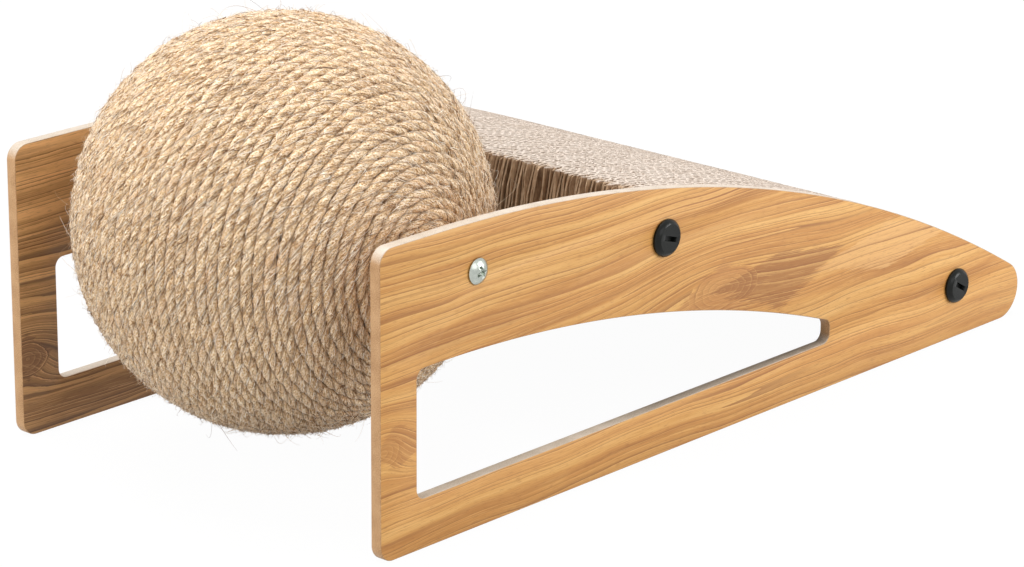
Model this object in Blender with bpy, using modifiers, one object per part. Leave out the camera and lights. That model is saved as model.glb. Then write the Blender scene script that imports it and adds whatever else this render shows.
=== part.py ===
"""Cat scratching ramp: two side panels carry a corrugated cardboard pad and a rope-wound ball that spins.

Metres, +Z up. The origin is on the floor, in the middle of the overall box. +X runs from the ball
down to the low tip, and -Y is the left side. Each piece is placed from the front edge of the panels,
by parenting to one empty that stands there.
"""

from math import asin, atan2, cos, pi, radians, sin, sqrt

import bmesh
import bpy
from mathutils import Matrix

# Millimetres, for the sizes below
MM = 0.001

# Side panels
OVERALL_WIDTH = 250 * MM
PANEL_THICKNESS = 6 * MM
PANEL_LENGTH = 499 * MM
FRONT_HEIGHT = 149.2 * MM
FLAT_TOP_LENGTH = 40.3 * MM
NOSE_RADIUS = 15.8 * MM
FRONT_CORNER_RADIUS = 8 * MM

# Window in each panel
WINDOW_FRONT_MARGIN = 23.9 * MM
WINDOW_FLOOR_MARGIN = 24.7 * MM
WINDOW_TOP_BAND = 61.8 * MM
WINDOW_END_HEIGHT = 11.3 * MM
WINDOW_CORNER_RADIUS = 5 * MM

# Cardboard pad
PAD_FRONT = 175 * MM
PAD_DEPTH = 49 * MM
PAD_TOP_DROP = 0.4 * MM
PAD_FLOOR_CLEARANCE = 3 * MM

# Open flutes round the pad's rim: one layer of board in five or six, drawn as a groove
GROOVE_PITCH = 18 * MM
GROOVE_WIDTH = 3.2 * MM
GROOVE_DEPTH = 4 * MM
CUTTER_MARGIN = 1.5 * MM

# Cross bars through the pad
FRONT_BAR_AT = 197.5 * MM
REAR_BAR_FROM_TIP = 58.7 * MM
BAR_DEPTH = 24.4 * MM
BAR_RADIUS = 10 * MM

# Threaded inserts in the bar ends
INSERT_RADIUS = 5 * MM
INSERT_LENGTH = 14 * MM
INSERT_CHAMFER = 0.5 * MM

# Slotted cap screws
CAP_RADIUS = 9.4 * MM
CAP_FACE_RADIUS = 6.8 * MM
CAP_HEIGHT = 3.2 * MM
CAP_RIM_HEIGHT = 0.9 * MM
CAP_GRIP = 11 * MM
SLOT_LENGTH = 8.6 * MM
SLOT_WIDTH = 2 * MM
SLOT_DEPTH = 1.6 * MM
SLOT_TURNS = {"front_left": 0, "front_right": 40, "rear_left": -30, "rear_right": 15}

# Every screw is an M6
SCREW_RADIUS = 3 * MM
SCREW_POINT = 0.8 * MM

# Axle
AXLE_AT = 64 * MM
AXLE_HEIGHT = 125 * MM
AXLE_RADIUS = 5 * MM
AXLE_THREAD_DEPTH = 17 * MM
BOLT_HEAD_RADIUS = 6.3 * MM
BOLT_HEAD_HEIGHT = 3.1 * MM
BOLT_HEAD_RIM = 0.5 * MM
BOLT_GRIP = 14 * MM
RECESS_LENGTH = 6.4 * MM
RECESS_WIDTH = 1.2 * MM
RECESS_DEPTH = 1.9 * MM
RECESS_TURN = 20

# Ball. It hangs on the rod by its loose bushes, so its own centre line lies below the rod's
BALL_RADIUS = 101 * MM
BALL_HANG = 3.2 * MM
ROPE_DIAMETER = 5.4 * MM
ROPE_PITCH = 5.3 * MM
ROPE_GROOVE = 2.2 * MM
CORE_WALL = 3 * MM
LIP_WALL = 1.6 * MM
LIP_REACH = 4 * MM

# Hub bushes and the sleeves beside them
FLANGE_RADIUS = 14 * MM
FLANGE_THICKNESS = 2.4 * MM
FLANGE_SEAT_MARGIN = 1 * MM
BUSH_WALL = 2.5 * MM
BUSH_LENGTH = 14 * MM
BUSH_CHAMFER = 0.6 * MM
SLEEVE_WALL = 3.7 * MM
SIDE_PLAY = 1 * MM

# Gap between touching pieces
GAP = 0.3 * MM

# Roundness
BALL_STEPS = 24
SMALL_STEPS = 18
ARC_STEP = radians(1.25)
CORNER_STEP = radians(15)
CORE_STEP = radians(12)
HEAD_STEPS = 4
MERGE_DISTANCE = 0.01 * MM

# Worked out from the sizes above
NOSE_AT = PANEL_LENGTH - NOSE_RADIUS
TOP_RADIUS = ((NOSE_AT - FLAT_TOP_LENGTH) ** 2 + (FRONT_HEIGHT - NOSE_RADIUS) ** 2 - NOSE_RADIUS**2) / (
    2 * FRONT_HEIGHT - 4 * NOSE_RADIUS
)
TOP_CENTRE = (FLAT_TOP_LENGTH, FRONT_HEIGHT - TOP_RADIUS)
NOSE_ANGLE = atan2(NOSE_RADIUS - TOP_CENTRE[1], NOSE_AT - TOP_CENTRE[0])
REAR_BAR_AT = PANEL_LENGTH - REAR_BAR_FROM_TIP
INNER_FACE = OVERALL_WIDTH / 2 - PANEL_THICKNESS
CLEARANCE_RADIUS = SCREW_RADIUS + GAP
BALL_HEIGHT = AXLE_HEIGHT - BALL_HANG
BORE_RADIUS = AXLE_RADIUS + BALL_HANG + GAP
BARREL_RADIUS = BORE_RADIUS + BUSH_WALL
CORE_RADIUS = BALL_RADIUS - ROPE_DIAMETER - GAP
SEAT_RADIUS = FLANGE_RADIUS + FLANGE_SEAT_MARGIN
SEAT_HEIGHT = sqrt(CORE_RADIUS**2 - SEAT_RADIUS**2)
FLANGE_FACE = SEAT_HEIGHT + GAP + FLANGE_THICKNESS
FRONT_EDGE_X = -(PANEL_LENGTH + AXLE_AT - BALL_RADIUS) / 2

# Colour, roughness and metallic value of each finish
FINISHES = {
    "oak_foil": ("#D7A56E", 0.45, 0.0),
    "cardboard": ("#C9B49B", 0.95, 0.0),
    "jute_rope": ("#C8A581", 0.95, 0.0),
    "black_plastic": ("#1E1F20", 0.4, 0.0),
    "zinc_plate": ("#C9CCCF", 0.25, 1.0),
    "beech": ("#D9B98C", 0.6, 0.0),
    "brass": ("#C9A24B", 0.35, 1.0),
    "grey_plastic": ("#8D9093", 0.5, 0.0),
    "white_nylon": ("#E6E4DE", 0.45, 0.0),
}


def clear_scene():
    for old in list(bpy.data.objects):
        bpy.data.objects.remove(old, do_unlink=True)


def new_collection(name):
    collection = bpy.data.collections.new(name)
    bpy.context.scene.collection.children.link(collection)
    return collection


def linear(hex_colour):
    channels = [int(hex_colour[i : i + 2], 16) / 255 for i in (1, 3, 5)]
    return [c / 12.92 if c <= 0.04045 else ((c + 0.055) / 1.055) ** 2.4 for c in channels] + [1.0]


def finish(name):
    """The material of one finish, made once."""
    if name in bpy.data.materials:
        return bpy.data.materials[name]
    colour, roughness, metallic = FINISHES[name]
    material = bpy.data.materials.new(name)
    material.use_nodes = True
    shader = material.node_tree.nodes["Principled BSDF"]
    shader.inputs["Base Color"].default_value = linear(colour)
    shader.inputs["Roughness"].default_value = roughness
    shader.inputs["Metallic"].default_value = metallic
    return material


def place(obj, parent, location, turn):
    """Puts an object in the ramp's collection, under its parent, turned about X."""
    ramp.objects.link(obj)
    obj.parent = parent
    obj.location = location
    obj.rotation_euler = (turn, 0, 0)
    return obj


def arc(centre, radius, start, end, step):
    """Points of an arc from one angle to the other, both ends included."""
    count = max(2, round(abs(end - start) / step))
    angles = [start + (end - start) * i / count for i in range(count + 1)]
    return [(centre[0] + radius * cos(a), centre[1] + radius * sin(a)) for a in angles]


def circle(centre, radius):
    return arc(centre, radius, 0, 2 * pi * (1 - 1 / SMALL_STEPS), 2 * pi / SMALL_STEPS)


def plate(name, loops, thickness, middle, material):
    """A flat piece in the XZ plane: the first loop is its outline and the rest are its holes."""
    curve = bpy.data.curves.new(name, "CURVE")
    curve.dimensions = "2D"
    curve.fill_mode = "BOTH"
    curve.extrude = thickness / 2
    for loop in loops:
        spline = curve.splines.new("POLY")
        spline.points.add(len(loop) - 1)
        for point, (x, z) in zip(spline.points, loop):
            point.co = (x, z, 0, 1)
        spline.use_cyclic_u = True
    curve.materials.append(finish(material))
    return place(bpy.data.objects.new(name, curve), base, (0, middle, 0), pi / 2)


def profile_mesh(name, profile, material):
    """A profile as (radius, height) points. It closes on itself unless it starts on the axis."""
    mesh = bpy.data.meshes.new(name)
    edges = [(i, i + 1) for i in range(len(profile) - 1)]
    if profile[0][0] > 0:
        edges.append((len(profile) - 1, 0))
    mesh.from_pydata([(radius, 0, height) for radius, height in profile], edges, [])
    mesh.materials.append(finish(material))
    return mesh


def turned(name, mesh, steps, parent, location, side):
    """A turned piece about the Y direction. Heights in its profile run outwards on its side."""
    obj = place(bpy.data.objects.new(name, mesh), parent, location, -side * pi / 2)
    screw = obj.modifiers.new("turn", "SCREW")
    screw.steps = steps
    screw.render_steps = steps
    screw.use_merge_vertices = True
    screw.merge_threshold = MERGE_DISTANCE
    screw.use_smooth_shade = True
    return obj


def cut_box(obj, size, centre_height, angle):
    """Cuts a box out of a turned piece, on its axis and turned about it."""
    mesh = bpy.data.meshes.new(obj.name + "_cutter")
    shape = bmesh.new()
    bmesh.ops.create_cube(shape, size=1)
    bmesh.ops.scale(shape, vec=size, verts=shape.verts)
    bmesh.ops.rotate(shape, matrix=Matrix.Rotation(radians(angle), 3, "Z"), verts=shape.verts)
    bmesh.ops.translate(shape, vec=(0, 0, centre_height), verts=shape.verts)
    shape.to_mesh(mesh)
    shape.free()
    cutter = bpy.data.objects.new(mesh.name, mesh)
    cutters.objects.link(cutter)
    cutter.parent = obj
    cutter.hide_render = True
    cutter.display_type = "WIRE"
    cut = obj.modifiers.new("cut", "BOOLEAN")
    cut.operation = "DIFFERENCE"
    cut.solver = "EXACT"
    cut.object = cutter


def bar_place(along):
    """Where a bar's centre lies: at one depth below the curved top, all along it."""
    reach = along - TOP_CENTRE[0]
    return along, TOP_CENTRE[1] + sqrt((TOP_RADIUS - BAR_DEPTH) ** 2 - reach**2)


def panel_outline():
    front = FRONT_CORNER_RADIUS
    return (
        arc((front, front), front, 1.5 * pi, pi, CORNER_STEP)
        + arc((front, FRONT_HEIGHT - front), front, pi, 0.5 * pi, CORNER_STEP)
        + arc(TOP_CENTRE, TOP_RADIUS, 0.5 * pi, NOSE_ANGLE, ARC_STEP)
        + arc((NOSE_AT, NOSE_RADIUS), NOSE_RADIUS, NOSE_ANGLE, -0.5 * pi, CORNER_STEP)[1:]
    )


def window_outline():
    """The window: its top edge shares the centre of the panel's top edge, and ends at a set height."""
    radius = WINDOW_CORNER_RADIUS
    top = TOP_RADIUS - WINDOW_TOP_BAND
    end_rise = WINDOW_FLOOR_MARGIN + WINDOW_END_HEIGHT - TOP_CENTRE[1]
    left = WINDOW_FRONT_MARGIN + radius
    right = TOP_CENTRE[0] + sqrt(top**2 - end_rise**2) - radius
    low = WINDOW_FLOOR_MARGIN + radius

    def upper_corner(x):
        z = TOP_CENTRE[1] + sqrt((top - radius) ** 2 - (x - TOP_CENTRE[0]) ** 2)
        return z, atan2(z - TOP_CENTRE[1], x - TOP_CENTRE[0])

    left_z, left_angle = upper_corner(left)
    right_z, right_angle = upper_corner(right)
    return (
        arc((left, low), radius, 1.5 * pi, pi, CORNER_STEP)
        + arc((left, left_z), radius, pi, left_angle, CORNER_STEP)
        + arc(TOP_CENTRE, top, left_angle, right_angle, ARC_STEP)[1:-1]
        + arc((right, right_z), radius, right_angle, 0, CORNER_STEP)
        + arc((right, low), radius, 0, -0.5 * pi, CORNER_STEP)
    )


def side_panels():
    holes = [
        window_outline(),
        circle((AXLE_AT, AXLE_HEIGHT), CLEARANCE_RADIUS),
        circle(bar_place(FRONT_BAR_AT), CLEARANCE_RADIUS),
        circle(bar_place(REAR_BAR_AT), CLEARANCE_RADIUS),
    ]
    middle = INNER_FACE + PANEL_THICKNESS / 2
    for name, side in SIDES.items():
        plate(f"side_panel_{name}", [panel_outline()] + holes, PANEL_THICKNESS, side * middle, "oak_foil")


def as_mesh(plate_object):
    """The same plate as a mesh, with its caps welded on, so that it can be cut or cut others."""
    name, location = plate_object.name, tuple(plate_object.location)
    mesh = bpy.data.meshes.new_from_object(plate_object.evaluated_get(bpy.context.evaluated_depsgraph_get()))
    bpy.data.objects.remove(plate_object)
    shape = bmesh.new()
    shape.from_mesh(mesh)
    bmesh.ops.remove_doubles(shape, verts=shape.verts, dist=MERGE_DISTANCE)
    shape.to_mesh(mesh)
    shape.free()
    return place(bpy.data.objects.new(name, mesh), base, location, pi / 2)


def pad_outline(inset):
    """The pad's side view, drawn in by a distance. It follows the panels' top and nose, and its
    front end is square to the curve."""
    full_top = TOP_RADIUS - PAD_TOP_DROP
    under = TOP_RADIUS - PAD_DEPTH + inset
    nose = NOSE_RADIUS - PAD_TOP_DROP - inset
    floor = PAD_FLOOR_CLEARANCE + inset
    front_angle = pi / 2 - asin((PAD_FRONT - TOP_CENTRE[0]) / full_top) - inset / (full_top - PAD_DEPTH)
    under_angle = asin((floor - TOP_CENTRE[1]) / under)
    nose_end = -asin((NOSE_RADIUS - floor) / nose)
    return (
        arc(TOP_CENTRE, full_top - inset, front_angle, NOSE_ANGLE, ARC_STEP)
        + arc((NOSE_AT, NOSE_RADIUS), nose, NOSE_ANGLE, nose_end, CORNER_STEP)[1:]
        + arc(TOP_CENTRE, under, under_angle, front_angle, ARC_STEP)
    )


def cardboard_pad():
    """A block with bores for the bars, and a groove all round it at every GROOVE_PITCH of its width."""
    bores = [circle(bar_place(at), BAR_RADIUS + GAP) for at in (FRONT_BAR_AT, REAR_BAR_AT)]
    width = 2 * (INNER_FACE - GAP)
    pad = as_mesh(plate("cardboard_pad", [pad_outline(0)] + bores, width, 0, "cardboard"))
    count = int((width - GROOVE_WIDTH) / GROOVE_PITCH)
    rim = [pad_outline(-CUTTER_MARGIN), pad_outline(GROOVE_DEPTH)]
    last_groove = (count - 1) / 2 * GROOVE_PITCH
    cutter = as_mesh(plate("cardboard_pad_cutter", rim, GROOVE_WIDTH, last_groove, "cardboard"))
    ramp.objects.unlink(cutter)
    cutters.objects.link(cutter)
    cutter.hide_render = True
    cutter.display_type = "WIRE"
    row = cutter.modifiers.new("row", "ARRAY")
    row.count = count
    row.use_relative_offset = False
    row.use_constant_offset = True
    row.constant_offset_displace = (0, 0, GROOVE_PITCH)
    cut = pad.modifiers.new("cut", "BOOLEAN")
    cut.operation = "DIFFERENCE"
    cut.solver = "EXACT"
    cut.object = cutter


def blind_bar(radius, half_length, bore_radius, bore_depth):
    """Profile of a round bar with a blind bore in each end."""
    floor = half_length - bore_depth
    half = [(0, floor), (bore_radius, floor), (bore_radius, half_length), (radius, half_length)]
    return half + [(r, -z) for r, z in reversed(half)]


def cap_screw_mesh():
    """Heights from the panel's outer face: a flat face with a rounded flank, and a shank."""
    rim = GAP + CAP_RIM_HEIGHT
    quarter = arc((0, 0), 1, pi / 2, 0, pi / 2 / HEAD_STEPS)
    rounding = [
        (
            CAP_FACE_RADIUS + (CAP_RADIUS - CAP_FACE_RADIUS) * across,
            rim + (CAP_HEIGHT - CAP_RIM_HEIGHT) * up,
        )
        for across, up in quarter
    ]
    end = -(PANEL_THICKNESS + GAP + CAP_GRIP)
    profile = (
        [(0, GAP + CAP_HEIGHT)]
        + rounding
        + [(CAP_RADIUS, GAP), (SCREW_RADIUS, GAP), (SCREW_RADIUS, end + SCREW_POINT)]
        + [(SCREW_RADIUS - SCREW_POINT, end), (0, end)]
    )
    return profile_mesh("cap_screw", profile, "black_plastic")


def insert_mesh():
    """Heights from the panel's inner face, outwards."""
    outer = -GAP
    inner = outer - INSERT_LENGTH
    c = INSERT_CHAMFER
    profile = [
        (INSERT_RADIUS - c, outer),
        (INSERT_RADIUS, outer - c),
        (INSERT_RADIUS, inner + c),
        (INSERT_RADIUS - c, inner),
        (CLEARANCE_RADIUS, inner),
        (CLEARANCE_RADIUS, outer),
    ]
    return profile_mesh("bar_insert", profile, "brass")


def cross_bars():
    bar = profile_mesh(
        "cross_bar",
        blind_bar(BAR_RADIUS, INNER_FACE - GAP, INSERT_RADIUS + GAP, INSERT_LENGTH + GAP),
        "beech",
    )
    insert = insert_mesh()
    cap = cap_screw_mesh()
    for end, at in (("front", FRONT_BAR_AT), ("rear", REAR_BAR_AT)):
        x, z = bar_place(at)
        turned(f"cross_bar_{end}", bar, SMALL_STEPS, base, (x, 0, z), 1)
        for name, side in SIDES.items():
            spot = (x, side * INNER_FACE, z)
            turned(f"bar_insert_{end}_{name}", insert, SMALL_STEPS, base, spot, side)
            face = (x, side * OVERALL_WIDTH / 2, z)
            screw = turned(f"cap_screw_{end}_{name}", cap, SMALL_STEPS, base, face, side)
            top = GAP + CAP_HEIGHT
            size = (SLOT_LENGTH, SLOT_WIDTH, 2 * SLOT_DEPTH)
            cut_box(screw, size, top, SLOT_TURNS[f"{end}_{name}"])


def axle_bolt_mesh():
    """Heights from the panel's outer face: a shallow dome over a thin rim, and a shank."""
    rise = BOLT_HEAD_HEIGHT - BOLT_HEAD_RIM
    sphere = (BOLT_HEAD_RADIUS**2 + rise**2) / (2 * rise)
    spread = asin(BOLT_HEAD_RADIUS / sphere)
    centre = (0, GAP + BOLT_HEAD_HEIGHT - sphere)
    dome = arc(centre, sphere, pi / 2, pi / 2 - spread, spread / HEAD_STEPS)
    dome[0] = (0, GAP + BOLT_HEAD_HEIGHT)
    end = -(PANEL_THICKNESS + GAP + BOLT_GRIP)
    profile = (
        dome
        + [(BOLT_HEAD_RADIUS, GAP), (SCREW_RADIUS, GAP), (SCREW_RADIUS, end + SCREW_POINT)]
        + [(SCREW_RADIUS - SCREW_POINT, end), (0, end)]
    )
    return profile_mesh("axle_bolt", profile, "zinc_plate")


def axle():
    """The rod, its bolts and its sleeves. The sleeves stop short of the bushes' flanges."""
    rod = blind_bar(AXLE_RADIUS, INNER_FACE - GAP, CLEARANCE_RADIUS, AXLE_THREAD_DEPTH)
    spot = (AXLE_AT, 0, AXLE_HEIGHT)
    turned("axle_rod", profile_mesh("axle_rod", rod, "zinc_plate"), SMALL_STEPS, base, spot, 1)
    bore = AXLE_RADIUS + GAP
    sleeve_radius = bore + SLEEVE_WALL
    inner, outer = FLANGE_FACE + SIDE_PLAY, INNER_FACE - GAP
    sleeve = profile_mesh(
        "spacer_sleeve",
        [(sleeve_radius, outer), (sleeve_radius, inner), (bore, inner), (bore, outer)],
        "white_nylon",
    )
    bolt = axle_bolt_mesh()
    for name, side in SIDES.items():
        turned(f"spacer_sleeve_{name}", sleeve, SMALL_STEPS, base, spot, side)
        face = (AXLE_AT, side * OVERALL_WIDTH / 2, AXLE_HEIGHT)
        screw = turned(f"axle_bolt_{name}", bolt, SMALL_STEPS, base, face, side)
        top = GAP + BOLT_HEAD_HEIGHT
        for turn in (RECESS_TURN, RECESS_TURN + 90):
            cut_box(screw, (RECESS_LENGTH, RECESS_WIDTH, 2 * RECESS_DEPTH), top, turn)


def shell_arc(radius, start, end):
    """Profile points on a sphere. Angles are from the ball's axis."""
    return arc((0, 0), radius, pi / 2 - start, pi / 2 - end, CORE_STEP)


def core_profile(with_lip):
    """One half shell, from the flat seat at its pole to its rim. One half has a lip that enters the other."""
    inner = CORE_RADIUS - CORE_WALL
    hole = BARREL_RADIUS + GAP
    rim = GAP / 2
    outer_arc = shell_arc(CORE_RADIUS, asin(SEAT_RADIUS / CORE_RADIUS), pi / 2)
    outer_arc[-1] = (CORE_RADIUS, rim)
    inner_arc = shell_arc(inner, pi / 2, asin(SEAT_RADIUS / inner))
    inner_arc[0] = (inner, rim)
    if with_lip:
        lip_outer = sqrt((inner * cos(CORE_STEP / 2)) ** 2 - LIP_REACH**2) - GAP
        lip_inner = lip_outer - LIP_WALL
        root = sqrt(inner**2 - lip_inner**2)
        lip = [(inner, rim), (lip_outer, rim), (lip_outer, -LIP_REACH), (lip_inner, -LIP_REACH)]
        inner_arc = lip + shell_arc(inner, atan2(lip_inner, root), asin(SEAT_RADIUS / inner))
    return [(hole, SEAT_HEIGHT)] + outer_arc + inner_arc + [(hole, inner_arc[-1][1])]


def bush_mesh():
    """Heights from the ball's centre: a flange on the seat and a barrel in the pole's hole."""
    under = SEAT_HEIGHT + GAP
    end = under - BUSH_LENGTH
    c = BUSH_CHAMFER
    profile = [
        (FLANGE_RADIUS - c, FLANGE_FACE),
        (FLANGE_RADIUS, FLANGE_FACE - c),
        (FLANGE_RADIUS, under),
        (BARREL_RADIUS, under),
        (BARREL_RADIUS, end + c),
        (BARREL_RADIUS - c, end),
        (BORE_RADIUS, end),
        (BORE_RADIUS, FLANGE_FACE),
    ]
    return profile_mesh("hub_bush", profile, "white_nylon")


def rope_profile():
    """One closed skin with a rib for each turn of the rope, open at both poles."""
    inside = CORE_RADIUS + GAP
    edge = asin((FLANGE_RADIUS + GAP) / inside)
    span = pi - 2 * edge
    turns = round(span * (BALL_RADIUS - ROPE_DIAMETER / 2) / ROPE_PITCH)
    outer = []
    for i in range(2 * turns + 1):
        angle = edge + span * i / (2 * turns)
        radius = BALL_RADIUS if i % 2 else BALL_RADIUS - ROPE_GROOVE
        outer.append((radius * sin(angle), radius * cos(angle)))
    return outer + shell_arc(inside, pi - edge, edge)


def ball():
    hub = bpy.data.objects.new("ball_axis", None)
    place(hub, base, (AXLE_AT, 0, BALL_HEIGHT), 0)
    bush = bush_mesh()
    for name, side in SIDES.items():
        core = profile_mesh(f"ball_core_{name}", core_profile(name == "left"), "grey_plastic")
        turned(f"ball_core_{name}", core, BALL_STEPS, hub, (0, 0, 0), side)
        turned(f"hub_bush_{name}", bush, SMALL_STEPS, hub, (0, 0, 0), side)
    rope = profile_mesh("rope_winding", rope_profile(), "jute_rope")
    turned("rope_winding", rope, BALL_STEPS, hub, (0, 0, 0), 1)


SIDES = {"left": -1, "right": 1}
clear_scene()
ramp = new_collection("cat_scratching_ramp")
cutters = new_collection("cutters")
base = bpy.data.objects.new("ramp_base", None)
ramp.objects.link(base)
base.location = (FRONT_EDGE_X, 0, 0)
side_panels()
cardboard_pad()
cross_bars()
axle()
ball()
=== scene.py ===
"""Cat scratching ramp with a rope-wound ball: its looks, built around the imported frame.

Metres, +Z up. The panels' front edges stand at FRONT_EDGE along X, and the left panel is at -Y.
"""

from collections import namedtuple
from functools import partial
from math import asin, atan2, cos, exp, pi, radians, sin, sqrt

import bmesh
import bpy
import numpy as np
from mathutils import Matrix, Vector


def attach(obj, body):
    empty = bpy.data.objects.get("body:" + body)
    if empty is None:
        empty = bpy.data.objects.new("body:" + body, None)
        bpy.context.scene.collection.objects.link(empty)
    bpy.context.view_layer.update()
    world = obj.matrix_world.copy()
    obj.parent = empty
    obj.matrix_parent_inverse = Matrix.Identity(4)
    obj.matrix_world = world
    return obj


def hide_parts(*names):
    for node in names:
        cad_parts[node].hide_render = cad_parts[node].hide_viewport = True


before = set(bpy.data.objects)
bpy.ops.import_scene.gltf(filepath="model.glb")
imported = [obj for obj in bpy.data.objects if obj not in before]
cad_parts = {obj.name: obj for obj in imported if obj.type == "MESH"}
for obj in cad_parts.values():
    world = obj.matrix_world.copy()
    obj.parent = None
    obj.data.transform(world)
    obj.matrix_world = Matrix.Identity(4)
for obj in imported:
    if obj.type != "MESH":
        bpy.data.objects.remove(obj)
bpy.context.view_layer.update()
scene = bpy.context.scene

# Millimetres, for the sizes below
MM = 0.001

# Side panels, seen from the side in X and Z, from their front edge and the floor
SIDES = {"left": -1, "right": 1}
FRONT_EDGE = -231 * MM
HALF_WIDTH = 125 * MM
PANEL_THICKNESS = 6 * MM
PANEL_LENGTH = 499 * MM
FRONT_HEIGHT = 149.2 * MM
FLAT_TOP_LENGTH = 40.3 * MM
NOSE_RADIUS = 15.8 * MM
FRONT_CORNER_RADIUS = 8 * MM
EDGE_ROUNDING = 0.35 * MM
NOSE_AT = PANEL_LENGTH - NOSE_RADIUS
TOP_RADIUS = ((NOSE_AT - FLAT_TOP_LENGTH) ** 2 + (FRONT_HEIGHT - NOSE_RADIUS) ** 2 - NOSE_RADIUS**2) / (
    2 * FRONT_HEIGHT - 4 * NOSE_RADIUS
)
TOP_CENTRE = (FLAT_TOP_LENGTH, FRONT_HEIGHT - TOP_RADIUS)
NOSE_ANGLE = atan2(NOSE_RADIUS - TOP_CENTRE[1], NOSE_AT - TOP_CENTRE[0])
CORNER_STEP = radians(5)
ARC_STEP = radians(0.4)

# Window in each panel
WINDOW_FRONT_MARGIN = 23.9 * MM
WINDOW_FLOOR_MARGIN = 24.7 * MM
WINDOW_TOP_BAND = 61.8 * MM
WINDOW_END_HEIGHT = 11.3 * MM
WINDOW_CORNER_RADIUS = 5 * MM

# Screws, and where they go through the panels
SCREW_RADIUS = 3 * MM
SCREW_CLEARANCE = 0.3 * MM
SHANK_CHAMFER = 0.8 * MM
AXLE = (64 * MM, 125 * MM)
BAR_DEPTH = 24.4 * MM
BAR_RADIUS = 10.3 * MM
HOLE_SIDES = 24
BARS_AT = {"front": 197.5 * MM, "rear": 440.3 * MM}

# Slotted caps. Slots and recesses are length, width and depth, and their turns are in degrees.
CAP_RADIUS = 9.4 * MM
CAP_HEIGHT = 3.2 * MM
CAP_SHANK = 17.3 * MM
CAP_FACE_RADIUS = 7.2 * MM
CAP_FLANK_TILT = radians(25)
SLOT_SIZE = (8.8 * MM, 2.5 * MM, 2.8 * MM)
SLOT_TURNS = {"front_left": -17, "front_right": 40, "rear_left": -30, "rear_right": 15}

# Domed bolt heads
BOLT_HEAD_RADIUS = 6.3 * MM
BOLT_HEAD_HEIGHT = 3.1 * MM
BOLT_HEAD_RIM = 0.5 * MM
BOLT_SHANK = 20.3 * MM
RECESS_SIZE = (7.4 * MM, 1.9 * MM, 2.4 * MM)
RECESS_TURN = 20

# Rope on the ball
BALL_CENTRE = np.array([-167, 0, 121.8]) * MM
ROPE_MIDDLE = 98.3 * MM
POLE_GAP = 0.1501
ROPE_TURNS = 53
STRAND_MIDDLE = 0.78 * MM
STRAND_RADIUS = 1.92 * MM
ROPE_LAY = 25.5 * MM
ROPE_FLATTENING = 1.13
ROPE_SEAT = 95.5 * MM
ROPE_STEP = 1.5 * MM
ROPE_GIRTH = 17 * MM
STRAND_CORNERS = np.radians([-60, -42, -22, 0, 22, 42])

# How far the rope strays from an even winding, and over what length
SIDEWAYS_DRIFT = (0.25 * MM, 45 * MM)
HEIGHT_DRIFT = (0.2 * MM, 60 * MM)
TWIST_DRIFT = (0.7, 70 * MM)
STRAND_SWELL = (0.09, 8 * MM)
TUFTS = (0.24 * MM, 2.2 * MM)
LYING_FIBRES = 13800

# Cardboard pad
PAD_HALF_WIDTH = 118.7 * MM
PAD_FRONT = 175 * MM
PAD_DEPTH = 49 * MM
PAD_TOP_DROP = 0.4 * MM
PAD_FLOOR_CLEARANCE = 3 * MM
SHEETS = 74
FLUTE_LENGTH = 6.5 * MM
FLUTE_LEAN = radians(18.9)
FLUTE_PAPER = 0.9 * MM
LINER_PAPER = 1 * MM
PAD_TOP_PROUD = 0.15 * MM
LOWEST_WALL = 0.3 * MM
TOP_WEAR = (0.15 * MM, 9 * MM)
LINER_DRIFT = (0.12 * MM, 30 * MM)
FLUTE_DRIFT = (0.04, 50 * MM)

# Frayed high end of the pad: its depth, and how far the strips stop early or late, sag and rise
FRAY_DEPTH = 6 * MM
FRAY_SHIFT = 1.6 * MM
FRAY_SAG = 2.2 * MM
FRAY_RISE = 0.7 * MM
TORN_SHARE = 0.22
TORN_DEPTH = (0.4 * MM, 1.2 * MM)


def linear(hex_colour):
    channels = [int(hex_colour[i : i + 2], 16) / 255 for i in (1, 3, 5)]
    return [c / 12.92 if c <= 0.04045 else ((c + 0.055) / 1.055) ** 2.4 for c in channels] + [1.0]


def feed(node, inputs):
    """Gives a node's inputs their values, or links them to the nodes or sockets that feed them."""
    for name, value in inputs.items() if isinstance(inputs, dict) else enumerate(inputs):
        if isinstance(value, bpy.types.Node):
            value = value.outputs[0]
        if isinstance(value, bpy.types.NodeSocket):
            node.id_data.links.new(value, node.inputs[name])
        else:
            node.inputs[name].default_value = value


def add_node(tree, kind, inputs=(), stops=(), **settings):
    """Adds a node, with its inputs by name or in a row, the stops of its colour ramp and its settings."""
    made = tree.nodes.new("ShaderNode" + kind)
    for name, value in settings.items():
        setattr(made, name, value)
    feed(made, inputs)
    for index, (place, colour) in enumerate(stops):
        elements = made.color_ramp.elements
        stop = elements[index] if index < 2 else elements.new(place)
        stop.position = place
        stop.color = linear(colour)
    return made


def new_finish(name):
    """A material, the function that adds a node to it, and its shader."""
    material = bpy.data.materials.new(name)
    material.use_nodes = True
    tree = material.node_tree
    return material, partial(add_node, tree), tree.nodes["Principled BSDF"]


def new_object(name, data, materials=()):
    """An object in the scene. The materials go on its mesh."""
    made = bpy.data.objects.new(name, data)
    scene.collection.objects.link(made)
    for material in materials:
        data.materials.append(material)
    return made


# Camera

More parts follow.
